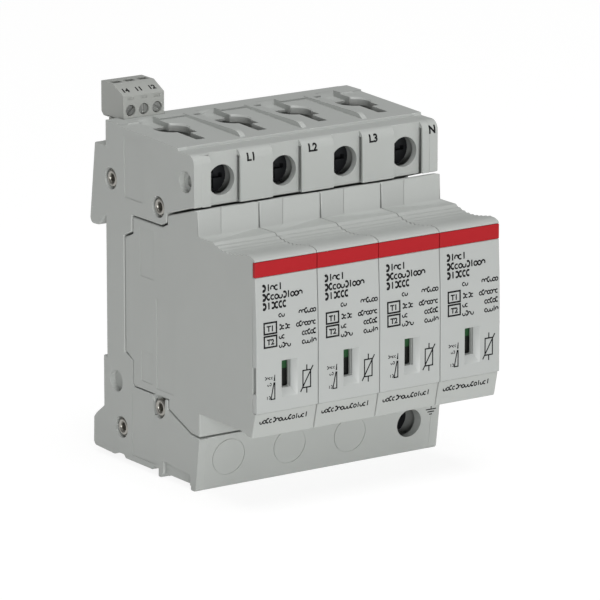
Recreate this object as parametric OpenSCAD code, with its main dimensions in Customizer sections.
// Din rail surge arrester: a four-pole base for a 35 mm rail that carries
// four plug-in cartridges and a plug-in alarm connector.
// x runs along the rail, y points to the rail and z points up.
// Depths are counted forwards (towards -y) from the rail seat, and heights
// from the middle of the cartridges' 45 mm high noses.

/* [Poles] */
// Width of one pole along the rail
pole_pitch = 17.8; // [17.4:0.1:18.6]
// Gap between two neighbouring cartridges
cartridge_gap = 0.2; // [0.15:0.05:0.5]
// Thickness of each end cover
cover_t = 2.4; // [2:0.1:2.6]

/* [Base outline] */
// Height of the rear rim
rim_z = 44.2; // [44:0.1:46]
// Depth of the rear rim
rim_d = 6.6; // [6:0.1:7.4]
// Step from the rim down to the roof
rim_step = 0.4; // [0.2:0.1:0.6]
// Fall of the roof towards its front edge
roof_fall = 0.75; // [0.3:0.05:1.2]
// Depth at which the roof ends
roof_d = 32.2; // [31:0.1:33.5]
// Step from the roof down to the terminal panels
ledge_step = 0.7; // [0.4:0.1:1]
// Depth of the terminal panels
panel_d = 39.2; // [38.6:0.1:41]
// Radius of the panels' top edge
panel_r = 2.5; // [1.5:0.1:3]
// Height of the panels' bottom edge
panel_foot_z = 29.5; // [29:0.1:30]
// Depth of the lower block's top edge
lower_d = 41; // [40:0.1:42]
// Depth of the lower block's bottom edge
lower_foot_d = 39.2; // [38.5:0.1:40]
// Distance of the underside below the middle
underside = 39.3; // [38.8:0.1:41]
// Height of the lip and the pip under the base
lip_h = 1.1; // [0.8:0.1:1.5]

/* [Rail side] */
// Height of the rail's top edge
rail_top_z = 20; // [19.5:0.1:20.2]
// Height of the rail itself
rail_h = 35; // [35:0.1:35.3]
// Reach of the upper hook behind the seat
hook_d = 7; // [6:0.1:8]
// Height of the hook's lower end
hook_z = 17.3; // [17:0.1:18]
// Height of the hook's top
hook_top_z = 37.9; // [37:0.1:38.2]
// Reach of the lower foot behind the seat
foot_d = 6.5; // [5.5:0.1:7.5]
// Thickness of the wall behind the rail's lower edge
ledge_d = 1.6; // [1.4:0.1:2]
// Travel of the rail clips when they are pulled down
clip_travel = 5; // [4:0.5:6]
// Width of a rail clip's hook
clip_w = 10; // [8:0.5:12]
// Thickness of a rail clip's slider
clip_t = 2.6; // [2.2:0.1:3]

/* [Cartridge bay] */
// Thickness of the wall between rail seat and bay
rear_wall = 8; // [7.6:0.1:8.6]
// Depth of the two faces that hold the contact slots
step_d = 11.6; // [11.2:0.1:12]
// Height of the bay's roof
bay_roof = 22.7; // [22.4:0.1:23]
// Distance of the bay's floor below the middle
bay_floor = 20.2; // [20:0.1:20.5]
// Depth at which roof and floor open out
shoulder_d = 27; // [26.4:0.1:27.6]
// Clearance of a cartridge in the bay
bay_gap = 0.35; // [0.3:0.05:0.5]

/* [Cartridge] */
// Depth of the cartridge's front at its red band
nose_d = 64.9; // [63:0.1:67]
// Forward bow of the front plate
plate_bow = 0.6; // [0.2:0.1:1]
// Thickness of the red band and the front plate at its rim
plate_t = 1.2; // [1:0.1:1.6]
// Height of the nose's top
nose_top = 22.9; // [22.4:0.1:23.4]
// Height of the red band's top edge
band_top = 21.5; // [21.2:0.1:21.8]
// Height of the red band
band_h = 3.7; // [3:0.1:5]
// Distance of the front plate's bottom below the middle
plate_low = 15.3; // [14.6:0.1:15.6]
// Depth of the finger scoop
scoop_h = 1.3; // [0.8:0.1:1.6]
// Number of ridges in the finger scoop
ridge_count = 9; // [5:1:12]
// Height of a ridge
ridge_h = 0.2; // [0.15:0.05:0.4]
// Wall of the cartridge shell
shell_t = 1.5; // [1.3:0.1:1.7]
// Width of the indicator window at the front
window_w = 4.5; // [4:0.1:5]
// Height of the indicator window at the front
window_h = 8.9; // [8:0.1:9.4]
// Width of the window's right bevel
window_bevel = 1.2; // [0.8:0.1:1.5]
// Height of the window's sloping sill
window_sill = 1.9; // [1.2:0.1:2]
// Travel of the indicator flag
flag_travel = 4; // [3:0.1:4.5]

/* [Terminals] */
// Depth of the cable entries
wire_d = 14.5; // [14:0.1:15]
// Radius of a cable entry
wire_r = 4.35; // [4:0.05:4.5]
// Height of the line screws
line_screw_z = 35.2; // [35:0.1:35.6]
// Distance of the earth screw below the middle
earth_screw_z = 32.7; // [32.4:0.1:33]
// Radius of the screwdriver holes
driver_r = 3.75; // [3.4:0.05:3.9]
// Radius of a terminal screw's thread
screw_r = 2.5; // [2:0.1:2.8]
// Radius of a terminal screw's head
head_r = 4.1; // [4:0.05:4.4]
// Height of a terminal screw's head
head_h = 3; // [2.5:0.1:3.2]
// Width of a clamp cage
cage_w = 9.4; // [9:0.1:9.8]
// Height of a clamp cage
cage_h = 9.6; // [9.2:0.1:9.8]
// Travel of a clamp cage
cage_travel = 6; // [5:0.1:6.2]
// Sheet of the clamp cages
cage_t = 0.9; // [0.7:0.05:1]
// Width of a screw recess between two panels
recess_w = 8.45; // [8:0.05:9.4]
// Depth of a screw recess
recess_d = 1.7; // [1.2:0.1:2]

/* [Contacts] */
// Sheet of the contact strips
strip_t = 1.5; // [1.2:0.1:1.6]
// Width of the contact strips and blades
strip_w = 7; // [6:0.1:7.2]
// Thickness of a cartridge blade
blade_t = 1; // [0.8:0.05:1.1]
// Running clearance between blade and fork
fork_gap = 0.1; // [0.05:0.01:0.12]

/* [Alarm connector] */
// Distance of the three alarm ways
alarm_pitch = 3.81; // [3.5:0.01:4]
// Width of the plug
plug_w = 11.8; // [11.6:0.1:12.4]
// Height of the plug's top
plug_top_z = 52.1; // [51.5:0.1:53]
// Reach of the plug behind the rail seat
plug_back_d = 7.8; // [7.4:0.1:8.4]

/* [Hidden] */
$fn = 48;
pole_count = 4;
width = pole_count * pole_pitch;
fit = 0.15;
run = 0.3;
eps = 0.01;
through = 200;

housing_colour = "#b9bcb8";
plate_colour = "#c6c8c4";
band_colour = "#bd2f36";
steel_colour = "#a9adb0";
copper_colour = "#c58a5a";
green_colour = "#3f9d4a";
ceramic_colour = "#3c4a63";

// Derived heights and depths of the base
roof_rear_z = rim_z - rim_step;
roof_front_z = roof_rear_z - roof_fall;
ledge_z = roof_front_z - ledge_step;
recess_face = panel_d - recess_d;
rail_low_z = rail_top_z - rail_h;
hook_tip = hook_d - 3.6;
neck_top = bay_roof - 5.7;
neck_rise = 1.5;
neck_low = -bay_floor + 7.9;
neck_drop = 1.3;
shoulder_z = bay_roof + 3.3;
lower_top = -bay_floor - 6.6;

// Derived places of a terminal
cage_inner = wire_d - wire_r - fit;
strip_d = wire_d + wire_r + 0.35;
nut_t = 2.5;
nut_d = strip_d + strip_t + 0.4;
screw_tip_d = strip_d + strip_t + 0.2;
head_d = nut_d + nut_t + cage_travel + 0.4;
chamber_rear = cage_inner - cage_t - run;
chamber_w = cage_w + 2 * run;
chamber_h = cage_h + 2 * run;
entry_shift = 1;
entry_chamfer = 0.4;
entry_slot_w = 2.6;
entry_slot_d = 12.8;
entry_step = [3.2, 6.2];
recess_shift = 0.175;
front_wall = 1.8;
roof_t = 1.3;
roof_hollow_x = [-5, 5.9];
roof_hollow_d = [5.6, roof_d - 1.2];

// Derived places of the plug contacts
fork_z = bay_roof - 2.3;
earth_fork_z = -bay_floor + 3.9;
fork_t = 0.8;
fork_back_d = 4.2;
fork_front_d = step_d - 1.2;
line_plate_z = bay_roof + 2.5;
earth_plate_z = -bay_floor - 3.8;

// Derived sizes of a cartridge
cartridge_w = pole_pitch - cartridge_gap;
wall_d = panel_d + 1.3;
wall_top_z = panel_foot_z - 0.3;
slope_gap = 0.6;
seam_x = 6.6;
seam_w = 0.2;
shell_front_d = nose_d - plate_t;
front_wall_d = shell_front_d - 3.1;
cavity_w = cartridge_w - 2 * shell_t;
cavity_rear_d = step_d + bay_gap + shell_t;
cavity_top = bay_roof - bay_gap - shell_t + 0.1;
cavity_low = -bay_floor + bay_gap + shell_t;
nose_low = -bay_floor - 0.55;
chin_z = nose_low - 0.95;
window_x = -1.6;
window_top_z = -3.1;
window_open_x = [window_x, window_x + window_w - window_bevel];
window_open_z = [window_top_z - window_h + window_sill, window_top_z];
side_notch_z = [window_top_z - 7.4, window_top_z - 1];
side_notch_w = 2;
flag_x = [window_x - 0.6, window_open_x[1] + 0.7];
flag_z = [window_top_z - window_h - 0.6, window_top_z + 0.5];
flag_t = 1;
flag_front_d = shell_front_d - 1.6;
flag_foot = 1.2;
spring_r = 1.6;
spring_wire = 0.3;
spring_turns = 5;
spring_d = front_wall_d - 2.4;
varistor_t = 9;
varistor_rear_d = cavity_rear_d + 3.5;
varistor_side = 33;
varistor_r = 4;
varistor_z = 1.2;
tab_t = 1;
tab_h = 8;

// Shallow frames pressed into a cartridge's left side, as depths and heights
frame_sink = 0.12;
upper_frame = [[wire_d + 0.6, wire_d + 6.7], [bay_roof - 14.4, bay_roof - 2.3]];
lower_frame = [[wire_d + 0.9, wire_d + 5.8], [-bay_floor + 2.3, -bay_floor + 10]];
tall_frame = [[wire_d + 7.6, wire_d + 15.3], [-bay_floor + 1.7, -bay_floor + 24.3]];

// Derived sizes of the rail clips and the alarm switch
clip_d = 0.4;
clip_slide_w = clip_w + 3;
clip_top_z = rail_low_z - run;
clip_low_z = -underside + 1.5;
switch_w = 12.8;
switch_x = -width / 2 + cover_t + 0.1 + switch_w / 2;
switch_h = 6.5;
switch_d = [1.6, rear_wall - 1];
switch_z = 4;

// Derived places of the alarm connector
plug_x = -width / 2 + 9.8;
plug_front_d = 2.3;
header_back_d = 4.4;
header_z = [hook_top_z + fit, rim_z - 0.5];
plug_low_z = header_z[1] + 0.2;
tongue = [3.4, 0.5];
pin_d = -1.9;
pin_w = 0.8;

// Derived places inside the alarm plug, from back to front
way_w = 2.7;
way_h = 3.2;
way_t = 0.35;
way_travel = 0.8;
way_z = plug_top_z - 6;
way_wire = [-plug_back_d + 2.1, -plug_back_d + 4.7];
way_strip = [way_wire[1] + 0.1, way_wire[1] + 0.6];
way_nut = [way_strip[1] + 0.2, way_strip[1] + 1.3];
way_head = [way_nut[1] + way_travel + 0.2, plug_front_d - 0.4];
plug_contact_z = [header_z[0] + 1.4, way_z + way_h / 2 - 0.3];
plug_slant_z = plug_top_z - 2.3;
plug_groove_z = [plug_slant_z - 1.1, plug_slant_z - 0.4];
plug_screw_r = 0.8;
plug_head_r = 1.15;
plug_hole_r = 1.4;
plug_slot_turn = [50, 0, -60];

// Places of the four rivets, as depth and height
rivets_at = [[2.4, 30], [23.5, 27], [6.5, -31.6], [23.3, -23]];
rivet_r = 1.5;
rivet_hole_r = 1;
rivet_hole_d = 1;
rivet_head_r = 2.3;
rivet_flare = 0.6;
sink_r = 2.7;
sink_d = 1.4;
blank_r = 4.7;

function pole_x(k) = (k - (pole_count - 1) / 2) * pole_pitch;
function clip_x(k) = (k * 2 - 3) * pole_pitch;
function way_x(i) = plug_x + (i - 2) * alarm_pitch;
function arc(c, r, a0, a1, n = 6) =
  [for (i = [0:n]) let (a = a0 + (a1 - a0) * i / n) c + r * [cos(a), sin(a)]];

// Extrudes an outline drawn as [y, z] along x
module along_x(x0, x1) {
  translate([x0, 0, 0]) rotate([90, 0, 90]) linear_extrude(x1 - x0) children();
}

// A box between two depths, given as [x, depth, z] corners
module block(x, d, z) {
  translate([x[0], -d[1], z[0]]) cube([x[1] - x[0], d[1] - d[0], z[1] - z[0]]);
}

// A cylinder along y between two depths
module rod(x, z, r, d) {
  translate([x, -d[1], z]) rotate([-90, 0, 0]) cylinder(r = r, h = d[1] - d[0]);
}

// A cylinder along x
module cross_rod(d, z, r, x) {
  translate([x[0], -d, z]) rotate([0, 90, 0]) cylinder(r = r, h = x[1] - x[0]);
}

// The bay that the cartridges fill, drawn smaller all round by a gap
function bay_points(gap) = concat(
  [[-(rear_wall + gap), neck_top - gap],
   [-(step_d + gap), neck_top + neck_rise - gap],
   [-(step_d + gap), bay_roof - gap],
   [-(shoulder_d - 2.4 + gap), bay_roof - gap],
   [-(shoulder_d + gap), bay_roof + 1.1 - gap],
   [-(shoulder_d + gap), shoulder_z - gap]]);

function bay_floor_points(gap) = concat(
  [[-lower_d, lower_top + gap],
   [-(lower_d - 3.8), lower_top + 0.2 + gap],
   [-(shoulder_d + gap), -bay_floor - 2.5 + gap],
   [-(shoulder_d + gap), -bay_floor + gap]],
  arc([-(step_d + 1.1 + gap), -bay_floor + 1.1 + gap], 1.1, 270, 360, 4),
  [[-(step_d + gap), neck_low - neck_drop + gap],
   [-(rear_wall + gap), neck_low + gap]]);

function base_points() = concat(
  [[0, rim_z], [-rim_d, rim_z], [-rim_d, roof_rear_z], [-roof_d, roof_front_z], [-roof_d, ledge_z]],
  arc([-(panel_d - panel_r), ledge_z - panel_r], panel_r, 90, 180),
  [[-panel_d, panel_foot_z], [-lower_d, lower_top],
   [-lower_foot_d, -underside - lip_h + 0.5], [-lower_foot_d + 0.4, -underside - lip_h],
   [-lower_foot_d + 2, -underside - lip_h], [-lower_foot_d + 2, -underside],
   [-wire_d - 10, -underside], [-wire_d - 9.4, -underside - lip_h],
   [-wire_d - 8.2, -underside - lip_h], [-wire_d - 8.2, -underside + 1],
   [-wire_d - 6.5, -underside + 1], [-wire_d - 5.5, -underside],
   [-rear_wall, -underside], [-rear_wall + 0.7, -underside + 0.8],
   [-rear_wall + 3, -underside + 0.8], [-rear_wall + 5.2, -underside],
   [foot_d - 0.8, -underside + 0.3], [foot_d, -underside + 1.2],
   [foot_d - 0.2, -underside + 7.6], [foot_d - 1.6, -underside + 9],
   [ledge_d, -underside + 11.4], [ledge_d, rail_low_z], [0, rail_low_z],
   [0, rail_top_z + run], [hook_tip, hook_z]],
  arc([hook_d - 1.4, hook_z + 1.4], 1.4, 270, 360, 4),
  [[hook_d - 2.4, hook_top_z], [0, hook_top_z]]);

// The base as seen from its end: a C round the cartridge bay
module base_section() {
  difference() {
    polygon(base_points());
    polygon(concat(bay_points(0),
      [[-(panel_d - 1), panel_foot_z], [-through, panel_foot_z], [-through, lower_top]],
      bay_floor_points(0)));
  }
}

// Space for one clamp cage and its screw behind a front wall with a screwdriver hole; the head keeps its room
module terminal_space(x, z, driver, front_d) {
  block([x - chamber_w / 2, x + chamber_w / 2], [chamber_rear, front_d - front_wall],
        [z - chamber_h / 2, z + chamber_h / 2]);
  rod(x, z, head_r + run, [head_d, head_d + head_h + run]);
  rod(x, z, driver, [front_d - front_wall - eps, lower_d + 5]);
}

// Keyhole for a cable, with a chamfered mouth and a stepped slot to the front
module cable_entry(x, z, up, depth) {
  translate([x, -wire_d, z]) mirror([0, 0, up > 0 ? 0 : 1]) {
    translate([0, 0, -depth]) cylinder(r = wire_r, h = depth + 3);
    translate([0, 0, -entry_chamfer])
      cylinder(r1 = wire_r, r2 = wire_r + 2 * entry_chamfer, h = 2 * entry_chamfer);
    translate([-entry_slot_w / 2, -entry_slot_d, -depth]) cube([entry_slot_w, entry_slot_d, depth + 3]);
    translate([-entry_slot_w / 2, -entry_step[1], -depth])
      cube([entry_slot_w / 2 + entry_step[0], entry_step[1], depth + 3]);
  }
}

// Profile of a contact strip: riser, foot plate, drop and fork
module contact_section(riser_z, plate_z, z) {
  top = plate_z > z ? 1 : -1;
  half = blade_t / 2 + fork_gap;
  translate([-strip_d - strip_t, min(riser_z, plate_z)])
    square([strip_t, abs(riser_z - plate_z) + (top > 0 ? 0 : strip_t)]);
  translate([-strip_d - strip_t, plate_z]) square([strip_d + strip_t - fork_back_d, strip_t]);
  translate([-fork_back_d - strip_t, min(z, plate_z)])
    square([strip_t, abs(plate_z - z) + (top > 0 ? 0 : strip_t)]);
  translate([-fork_front_d, z + half]) square([fork_front_d - fork_back_d, fork_t]);
  translate([-fork_front_d, z - half - fork_t]) square([fork_front_d - fork_back_d, fork_t]);
  translate([-fork_back_d - strip_t, z - half - fork_t]) square([strip_t, 2 * (half + fork_t)]);
}

// Space for a contact strip and for the blade that enters its fork
module contact_space(x, riser_z, plate_z, z) {
  half = blade_t / 2 + fork_gap + fork_t + fit;
  side = strip_w / 2 + fit;
  plate = [plate_z - fit, plate_z + strip_t + fit];
  block([x - side, x + side], [strip_d - fit, strip_d + strip_t + fit],
        [min(riser_z, plate[0]), max(riser_z, plate[1])]);
  block([x - side, x + side], [fork_back_d - fit, strip_d + strip_t + fit], plate);
  block([x - side, x + side], [fork_back_d - fit, fork_back_d + strip_t + fit],
        [min(z, plate[0]), max(z, plate[1])]);
  block([x - side, x + side], [fork_back_d - fit, fork_front_d + fit], [z - half, z + half]);
  block([x - side - fit, x + side + fit], [fork_back_d, step_d + 1],
        [z - blade_t / 2 - run, z + blade_t / 2 + run]);
}

// Guide channel of a rail clip: a T seen from above, open below
module clip_space(x) {
  wide = clip_slide_w / 2 + run;
  narrow = clip_w / 2 + run;
  block([x - wide, x + wide], [clip_d - run, clip_d + clip_t + run], [-underside - clip_travel, clip_top_z + run]);
  block([x - narrow, x + narrow], [-foot_d + 2, clip_d], [-underside - clip_travel, clip_top_z + run]);
  block([x - narrow, x + narrow], [-foot_d - 1, clip_d], [-underside + 9, clip_top_z + run + eps]);
}

// Moulded body of the base with its terminal chambers
module base_housing() {
  inner = width / 2 - cover_t;
  color(housing_colour) difference() {
    union() {
      along_x(-inner, inner) base_section();
      for (k = [1:pole_count - 1]) barrier_rib(pole_x(k) - pole_pitch / 2 + 1.2);
    }
    for (k = [0:pole_count - 1]) {
      x = pole_x(k);
      recess_x = [x + recess_shift - recess_w / 2, x + recess_shift + recess_w / 2];
      block(recess_x, [recess_face, lower_d + 5], [panel_foot_z - 1, rim_z + 1]);
      block([recess_x[1] - eps, recess_x[1] + 1.6], [recess_face - 1, panel_d - 0.6],
            [panel_foot_z - 1, ledge_z - 1.6]);
      terminal_space(x, line_screw_z, driver_r, recess_face);
      block([x + roof_hollow_x[0], x + roof_hollow_x[1]], roof_hollow_d,
            [line_screw_z, roof_front_z - roof_t]);
      cable_entry(x + entry_shift, roof_rear_z - 0.2, 1, roof_rear_z - line_screw_z - chamber_h / 2 + 1);
      rim_notch(x);
      contact_space(x, line_screw_z, line_plate_z, fork_z);
      contact_space(x, earth_plate_z, earth_plate_z, earth_fork_z);
      if (k < pole_count - 1) blank_ring(x);
    }
    block([pole_x(0) - strip_w / 2, pole_x(pole_count - 1) + strip_w / 2 + fit],
          [strip_d - 6 - fit, strip_d + strip_t + fit], [earth_plate_z - fit, earth_plate_z + strip_t + fit]);
    contact_space(pole_x(pole_count - 1), -earth_screw_z, earth_plate_z, earth_fork_z);
    terminal_space(pole_x(pole_count - 1), -earth_screw_z, driver_r - 0.15, lower_foot_d);
    cable_entry(pole_x(pole_count - 1) + entry_shift, -underside, -1,
                underside - earth_screw_z - chamber_h / 2 + 1);
    for (k = [1:2]) clip_space(clip_x(k));
    for (p = rivets_at) cross_rod(p[0], p[1], rivet_r + fit, [-through, through]);
    block([plug_x - plug_w / 2 - fit, plug_x + plug_w / 2 + fit], [-through, plug_front_d + fit],
          [header_z[0] - fit, through]);
    block([switch_x - switch_w / 2 - fit, switch_x + switch_w / 2 + fit], [switch_d[0], rear_wall + 1],
          [switch_z - switch_h / 2 - fit, switch_z + switch_h / 2 + fit]);
  }
}

// Barrier between two poles on the roof, with a rounded front end
module barrier_rib(x) {
  end_r = 3.8;
  end_d = roof_d - 4.4;
  top_z = roof_front_z + 1.35;
  along_x(x, x + 1.4) polygon(concat(
    [[-rim_d + 1, rim_z - 3], [-rim_d + 1, rim_z + 0.2], [-end_d, top_z]],
    arc([-end_d, top_z - end_r], end_r, 90, 150, 5),
    [[-(end_d + end_r * cos(30)), rim_z - 3]]));
}

// Gap in the rear rim above a cable entry: a deep notch, and a shelf beside it
module rim_notch(x) {
  left = x + entry_shift - wire_r;
  shelf = [x - 1.4, x + 2.6];
  rear_d = rim_d - 2.9;
  shelf_d = rim_d + 2;
  deep = [roof_front_z - roof_t - 0.3, rim_z + 1];
  block([left, shelf[0] + eps], [rear_d, wire_d - 2], deep);
  block([left, shelf[1]], [shelf_d, wire_d], deep);
  along_x(shelf[0], shelf[1]) polygon([[-(rear_d - 0.6), rim_z + 1], [-rear_d, roof_rear_z - 1.1],
    [-shelf_d - eps, roof_rear_z - 1.3], [-shelf_d - eps, rim_z + 1]]);
}

// Ring of a moulded blank in the lower block's front
module blank_ring(x) {
  fall = (lower_d - lower_foot_d) / (underside + lip_h - 0.5 + lower_top);
  face_d = lower_d - fall * (earth_screw_z + lower_top);
  translate([x, -face_d, -earth_screw_z]) rotate([90 + atan(fall), 0, 0]) difference() {
    cylinder(r = blank_r, h = 4, center = true);
    cylinder(r = blank_r - 0.2, h = 5, center = true);
    translate([0, 0, -5.2]) cylinder(r = blank_r + 1, h = 5);
  }
}

// Shallow frame pressed into a side face
module side_frame(x, d, z) {
  block([x - frame_sink, x + frame_sink], d, z);
}

// End cover with rivet sinks, blind holes and shallow frames; side is -1 or 1
module end_cover(side) {
  outer = side * width / 2;
  inner = side * (width / 2 - cover_t);
  color(housing_colour) difference() {
    along_x(min(inner, outer), max(inner, outer)) base_section();
    for (p = rivets_at) {
      cross_rod(p[0], p[1], rivet_r + fit, [-through, through]);
      cross_rod(p[0], p[1], sink_r, [outer - sink_d, outer + sink_d]);
    }
    block([outer - sink_d, outer + sink_d], [rivets_at[3][0] - sink_r, rivets_at[3][0] + sink_r],
          [rivets_at[3][1], -bay_floor + 1]);
    cross_rod(panel_d - 3.8, line_screw_z + 0.2, sink_r, [outer - sink_d, outer + sink_d]);
    cross_rod(panel_d - 3.8, line_screw_z + 0.2, sink_r / 2, [outer - cover_t + 0.3, outer + cover_t - 0.3]);
    cross_rod(4.3, -bay_floor - 0.2, sink_r, [outer - sink_d, outer + sink_d]);
    side_frame(outer, [rear_wall + 0.4, wire_d + 2], [shoulder_z + 0.5, roof_front_z - 1.2]);
    side_frame(outer, [step_d - 0.4, wire_d + 7], [-underside + 1.6, -bay_floor - 1.8]);
    block([outer - 1, outer + 1], [wire_d + 10.4, lower_foot_d - 2.4], [-underside - 5, -underside + 3]);
  }
}

// One semi-tubular rivet with a flared head and a short bore at each end
module rivet(d, z) {
  reach = width / 2 - sink_d;
  difference() {
    union() {
      cross_rod(d, z, rivet_r, [-reach - rivet_flare, reach + rivet_flare]);
      cross_rod(d, z, rivet_head_r, [-reach - rivet_flare, -reach]);
      cross_rod(d, z, rivet_head_r, [reach, reach + rivet_flare]);
    }
    for (side = [-1, 1]) translate([side * (reach + rivet_flare), 0, 0])
      cross_rod(d, z, rivet_hole_r, [-rivet_hole_d, rivet_hole_d]);
  }
}

module rivets() {
  color(steel_colour) for (p = rivets_at) rivet(p[0], p[1]);
}

// Four contact strips, each from a clamp cage to a fork
module line_contacts() {
  color(copper_colour) for (k = [0:pole_count - 1])
    along_x(pole_x(k) - strip_w / 2, pole_x(k) + strip_w / 2)
      contact_section(line_screw_z + cage_h / 2 - 0.6, line_plate_z, fork_z);
}

// Busbar that joins the lower forks and leads to the earth clamp
module earth_busbar() {
  last = pole_x(pole_count - 1);
  color(copper_colour) {
    for (k = [0:pole_count - 1])
      along_x(pole_x(k) - strip_w / 2, pole_x(k) + strip_w / 2)
        contact_section(earth_plate_z, earth_plate_z, earth_fork_z);
    block([pole_x(0) - strip_w / 2 + fit, last + strip_w / 2], [strip_d - 6, strip_d + strip_t],
          [earth_plate_z, earth_plate_z + strip_t]);
    block([last - strip_w / 2, last + strip_w / 2], [strip_d, strip_d + strip_t],
          [-earth_screw_z - cage_h / 2 + 0.6, earth_plate_z + eps]);
  }
}

// Clamp cage: a sleeve round cable and strip, with the nut at its front
module clamp_cage(x, z) {
  color(steel_colour) difference() {
    block([x - cage_w / 2, x + cage_w / 2], [cage_inner - cage_t, nut_d + nut_t],
          [z - cage_h / 2, z + cage_h / 2]);
    block([x - cage_w / 2 + cage_t, x + cage_w / 2 - cage_t], [cage_inner, nut_d],
          [z - cage_h, z + cage_h]);
    rod(x, z, screw_r + 0.1, [nut_d - 1, nut_d + nut_t + 1]);
  }
}

// Terminal screw with a cross-slotted head
module terminal_screw(x, z) {
  color(steel_colour) difference() {
    union() {
      rod(x, z, screw_r, [screw_tip_d, head_d + eps]);
      rod(x, z, head_r, [head_d, head_d + head_h]);
    }
    for (turn = [0, 90]) translate([x, -head_d - head_h, z]) rotate([0, turn, 0])
      cube([head_r * 1.5, 3.2, 1.2], center = true);
  }
}

// Rail clip: a T slider with a hook behind the rail and a pull tab below
module rail_clip(x) {
  lip = rail_low_z + 2.8;
  hook_front = 1.2;
  hook_back = ledge_d + 0.8;
  color(housing_colour) difference() {
    union() {
      block([x - clip_slide_w / 2, x + clip_slide_w / 2], [clip_d, clip_d + clip_t],
            [clip_low_z, clip_top_z]);
      along_x(x - clip_w / 2, x + clip_w / 2) polygon([
        [-clip_d - eps, clip_top_z], [hook_front, clip_top_z], [hook_front, lip], [hook_front + 0.5, lip],
        [hook_back, lip - 1.4], [hook_back, clip_top_z - 3], [hook_back - 1.4, clip_top_z - 4.4],
        [-clip_d - eps, clip_top_z - 4.4]]);
      block([x - clip_w / 2, x + clip_w / 2], [-foot_d + 2.6, clip_d + eps], [clip_low_z, clip_low_z + 2.5]);
    }
    block([x - 3, x + 3], [-foot_d + 3.6, clip_d - 0.2], [clip_low_z - 1, clip_low_z + 1.2]);
  }
}

// Sealed switch that reports a tripped cartridge
module alarm_switch() {
  color("#2b2d2f")
    block([switch_x - switch_w / 2, switch_x + switch_w / 2], switch_d,
          [switch_z - switch_h / 2, switch_z + switch_h / 2]);
}

// Header that the alarm plug goes into, open at its top
module alarm_header() {
  color("#8f938f") difference() {
    block([plug_x - plug_w / 2, plug_x + plug_w / 2], [-header_back_d, plug_front_d], header_z);
    block([plug_x - plug_w / 2 + 0.7, plug_x + plug_w / 2 - 0.7], [-tongue[0] - run, tongue[1] + run],
          [header_z[0] + 1, header_z[1] + 1]);
    for (i = [1:3]) alarm_pin(way_x(i));
  }
}

// One square pin of the header
module alarm_pin(x) {
  block([x - pin_w / 2, x + pin_w / 2], [pin_d - pin_w / 2, pin_d + pin_w / 2],
        [header_z[0], header_z[1] - 0.8]);
}

module alarm_pins() {
  color(steel_colour) for (i = [1:3]) alarm_pin(way_x(i));
}

// Plug housing with three wire funnels, screw holes and pin sockets
module alarm_plug() {
  half = plug_w / 2;
  color(housing_colour) difference() {
    union() {
      along_x(plug_x - half, plug_x + half) polygon([
        [-plug_front_d, plug_low_z], [-plug_front_d, plug_slant_z], [plug_front_d, plug_top_z],
        [plug_back_d, plug_top_z], [plug_back_d, plug_low_z + 0.6], [plug_back_d - 1, plug_low_z - 0.3],
        [header_back_d + run, plug_low_z - 0.3], [header_back_d + run, plug_low_z]]);
      block([plug_x - half + 1, plug_x + half - 1], [-tongue[0], tongue[1]],
            [header_z[0] + 1.2, plug_low_z + eps]);
    }
    for (i = [1:3]) {
      x = way_x(i);
      block([x - way_w / 2 - fit, x + way_w / 2 + fit],
            [way_wire[0] - way_t - fit, way_nut[1] + way_travel + fit],
            [way_z - way_h / 2 - fit, way_z + way_h / 2 + fit]);
      block([x - 1.3, x + 1.3], [way_wire[0] + 0.1, way_wire[1] - 0.1], [way_z, plug_top_z + 1]);
      rod(x, way_z, plug_hole_r, [way_head[0] - 0.2, plug_front_d + 1]);
      block([x - 0.9, x + 0.9], [way_strip[0] - 0.1, way_strip[1] + 0.1], [header_z[0], way_z]);
      block([x - 0.6, x + 0.6], [pin_d - 0.6, pin_d + 0.6], [header_z[0], header_z[1] - 0.4]);
      block([x - 0.9, x + 0.9], [plug_front_d - 0.3, plug_front_d + 1], plug_groove_z);
    }
  }
}

// Strips in the plug, between clamps and header pins
module plug_contacts() {
  color(copper_colour) for (i = [1:3])
    block([way_x(i) - 0.8, way_x(i) + 0.8], way_strip, plug_contact_z);
}

module plug_clamp(i) {
  x = way_x(i);
  color(steel_colour) difference() {
    block([x - way_w / 2, x + way_w / 2], [way_wire[0] - way_t, way_nut[1]],
          [way_z - way_h / 2, way_z + way_h / 2]);
    block([x - way_w / 2 + way_t, x + way_w / 2 - way_t], [way_wire[0], way_nut[0]],
          [way_z - way_h, way_z + way_h]);
    rod(x, way_z, plug_screw_r + 0.05, [way_nut[0] - 0.5, way_nut[1] + 0.5]);
  }
}

module plug_screw(i) {
  x = way_x(i);
  color(steel_colour) difference() {
    union() {
      rod(x, way_z, plug_screw_r, [way_strip[1] + 0.1, way_head[0] + eps]);
      rod(x, way_z, plug_head_r, way_head);
    }
    translate([x, -way_head[1], way_z]) rotate([0, plug_slot_turn[i - 1], 0])
      cube([0.5, 1.2, 4], center = true);
  }
}

// Top of the nose: level, then a ridged finger scoop, then a round front edge
function scoop_points() =
  let (rear = wall_d + 6, front = nose_d - 2.6, steps = ridge_count * 4)
  [for (i = [0:steps]) let (t = i / steps, bowl = scoop_h * pow(sin(180 * pow(t, 0.8)), 1.2),
     ridge = (i % 4 == 1 || i % 4 == 2) ? ridge_h : 0)
     [-(rear + (front - rear) * t), nose_top - 0.25 * t - bowl + (t > 0.98 ? 0 : ridge)]];

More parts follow.
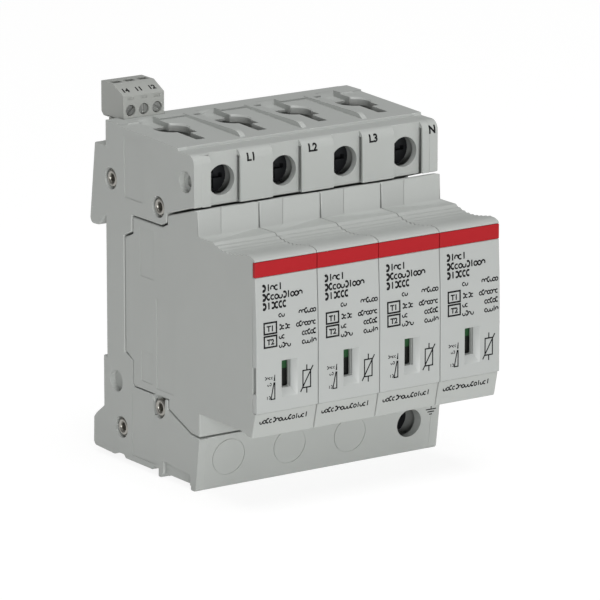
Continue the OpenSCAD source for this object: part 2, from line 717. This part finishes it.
// A cartridge as seen from its end
function cartridge_points() = concat(
  bay_points(bay_gap),
  [[-(panel_d - 1), panel_foot_z - slope_gap], [-wall_d, wall_top_z], [-wall_d, nose_top]],
  scoop_points(),
  [[-(nose_d - 1.6), nose_top - 0.35], [-(nose_d - 0.5), nose_top - 0.75], [-nose_d, band_top],
   [-shell_front_d, band_top], [-shell_front_d, -plate_low], [-(nose_d + plate_bow - 0.5), -plate_low],
   [-(nose_d - 1.4), chin_z], [-(nose_d - 3.6), chin_z + 0.2], [-(nose_d - 5.7), nose_low],
   [-lower_d, nose_low]],
  bay_floor_points(bay_gap));

// Hollow shell of a cartridge
module cartridge_shell(k) {
  x = pole_x(k);
  left = x - cartridge_w / 2;
  color(housing_colour) difference() {
    along_x(left, left + cartridge_w) polygon(cartridge_points());
    block([x - cavity_w / 2, x + cavity_w / 2], [cavity_rear_d, wall_d - 2], [cavity_low, cavity_top]);
    block([x - cavity_w / 2, x + cavity_w / 2], [wall_d - 2 - eps, front_wall_d],
          [cavity_low, cavity_top - 1.6]);
    block([x + flag_x[0] - run, x + flag_x[1] + run], [front_wall_d - eps, flag_front_d + run],
          [flag_z[0] - run, flag_z[1] + flag_travel + run]);
    block([x + window_open_x[0], x + window_open_x[1]], [flag_front_d, nose_d], window_open_z);
    block([left + seam_x, left + seam_x + seam_w], [wall_d - seam_w, wall_d + 1], [nose_top, wall_top_z + 1]);
    for (z = [fork_z, earth_fork_z])
      block([x - strip_w / 2 - fit, x + strip_w / 2 + fit], [step_d - 1, cavity_rear_d + 1],
            [z - blade_t / 2 - 0.05, z + blade_t / 2 + 0.05]);
    for (f = [upper_frame, lower_frame, tall_frame]) side_frame(left, f[0], f[1]);
  }
}

// Front plate with the bevelled indicator window
module front_plate(k) {
  x = pole_x(k);
  edge = [x + window_x, x + window_x + window_w];
  low = window_top_z - window_h;
  front = -nose_d - plate_bow - eps;
  bevel_end = -shell_front_d - 0.5;
  back = -shell_front_d + 1;
  color(plate_colour) difference() {
    along_x(x - cartridge_w / 2, x + cartridge_w / 2) polygon([
      [-shell_front_d - 0.05, band_top - band_h - 0.05], [-nose_d, band_top - band_h - 0.05],
      [-(nose_d + plate_bow * 0.7), 9], [-(nose_d + plate_bow), 2],
      [-(nose_d + plate_bow), -plate_low + 0.05], [-shell_front_d - 0.05, -plate_low + 0.05]]);
    intersection() {
      translate([0, 0, low - 5]) linear_extrude(window_h + 10) polygon([
        [edge[0], front], [edge[1], front], [edge[1] - window_bevel, bevel_end],
        [edge[1] - window_bevel, back], [edge[0], back]]);
      along_x(edge[0] - 5, edge[1] + 5) polygon([
        [front, low], [front, window_top_z], [back, window_top_z],
        [back, low + window_sill], [bevel_end, low + window_sill]]);
    }
    block([x - cartridge_w, x - cartridge_w / 2 + side_notch_w], [shell_front_d - 1, nose_d], side_notch_z);
  }
}

module red_band(k) {
  color(band_colour)
    block([pole_x(k) - cartridge_w / 2, pole_x(k) + cartridge_w / 2], [shell_front_d + 0.05, nose_d],
          [band_top - band_h, band_top - 0.05]);
}

// Flag behind the window, with a foot that stands on the trip spring
module indicator_flag(k) {
  x = pole_x(k);
  color(green_colour) {
    block([x + flag_x[0], x + flag_x[1]], [flag_front_d - flag_t, flag_front_d], flag_z);
    block([x + flag_x[0], x + flag_x[1]], [spring_d - spring_r, flag_front_d],
          [flag_z[0], flag_z[0] + flag_foot]);
  }
}

// Points of the ring number i of a coil's wire
function coil_ring(i, per_turn, sides, base, rise) =
  let (a = 360 * i / per_turn, out = [cos(a), sin(a), 0], z = base + rise * i)
  [for (j = [0:sides - 1]) let (b = 360 * j / sides)
     out * (spring_r + spring_wire * cos(b)) + [0, 0, z + spring_wire * sin(b)]];

// Helical spring that lifts the flag when the cartridge trips
module trip_spring(k) {
  per_turn = 10;
  sides = 6;
  rings = spring_turns * per_turn;
  base = cavity_low + spring_wire + 0.05;
  top = flag_z[0] - spring_wire - 0.05;
  points = [for (i = [0:rings]) each coil_ring(i, per_turn, sides, base, (top - base) / rings)];
  walls = [for (i = [0:rings - 1], j = [0:sides - 1]) let (n = (j + 1) % sides)
    [i * sides + j, i * sides + n, (i + 1) * sides + n, (i + 1) * sides + j]];
  ends = [[for (j = [sides - 1:-1:0]) j], [for (j = [0:sides - 1]) rings * sides + j]];
  color(steel_colour) translate([pole_x(k) + (flag_x[0] + flag_x[1]) / 2, -spring_d, 0])
    polyhedron(points, concat(walls, ends));
}

// Square varistor block with rounded corners
module varistor(k) {
  flat = varistor_side - 2 * varistor_r;
  middle_d = varistor_rear_d + varistor_side / 2;
  color(ceramic_colour) translate([pole_x(k) - varistor_t / 2, -middle_d, varistor_z])
    rotate([90, 0, 90]) linear_extrude(varistor_t) {
      square([varistor_side, flat], center = true);
      square([flat, varistor_side], center = true);
      for (a = [-1, 1], b = [-1, 1]) translate([a, b] * flat / 2) circle(r = varistor_r);
    }
}

// Two plug blades with the tabs that carry the varistor
module contact_blades(k) {
  x = pole_x(k);
  tab = [varistor_rear_d - tab_t - 0.1, varistor_rear_d - 0.1];
  color(copper_colour) for (z = [fork_z, earth_fork_z]) {
    inward = z > 0 ? -1 : 1;
    block([x - strip_w / 2, x + strip_w / 2], [fork_back_d + strip_t + 0.2, tab[1]],
          [z - blade_t / 2, z + blade_t / 2]);
    block([x - strip_w / 2, x + strip_w / 2], tab, [min(z, z + inward * tab_h), max(z, z + inward * tab_h)]);
  }
}

base_housing();
end_cover(-1);  // left_end_cover
end_cover(1);  // right_end_cover
rivets();
line_contacts();
earth_busbar();
clamp_cage(pole_x(pole_count - 1), -earth_screw_z);  // earth_clamp
terminal_screw(pole_x(pole_count - 1), -earth_screw_z);  // earth_screw
alarm_switch();
alarm_header();
alarm_pins();
alarm_plug();
plug_contacts();
for (i = [1:2]) rail_clip(clip_x(i));
for (i = [1:3]) plug_clamp(i);
for (i = [1:3]) plug_screw(i);
for (k = [1:pole_count]) {
  clamp_cage(pole_x(k - 1), line_screw_z);
  terminal_screw(pole_x(k - 1), line_screw_z);
  cartridge_shell(k - 1);
  front_plate(k - 1);
  red_band(k - 1);
  indicator_flag(k - 1);
  trip_spring(k - 1);
  varistor(k - 1);
  contact_blades(k - 1);
}
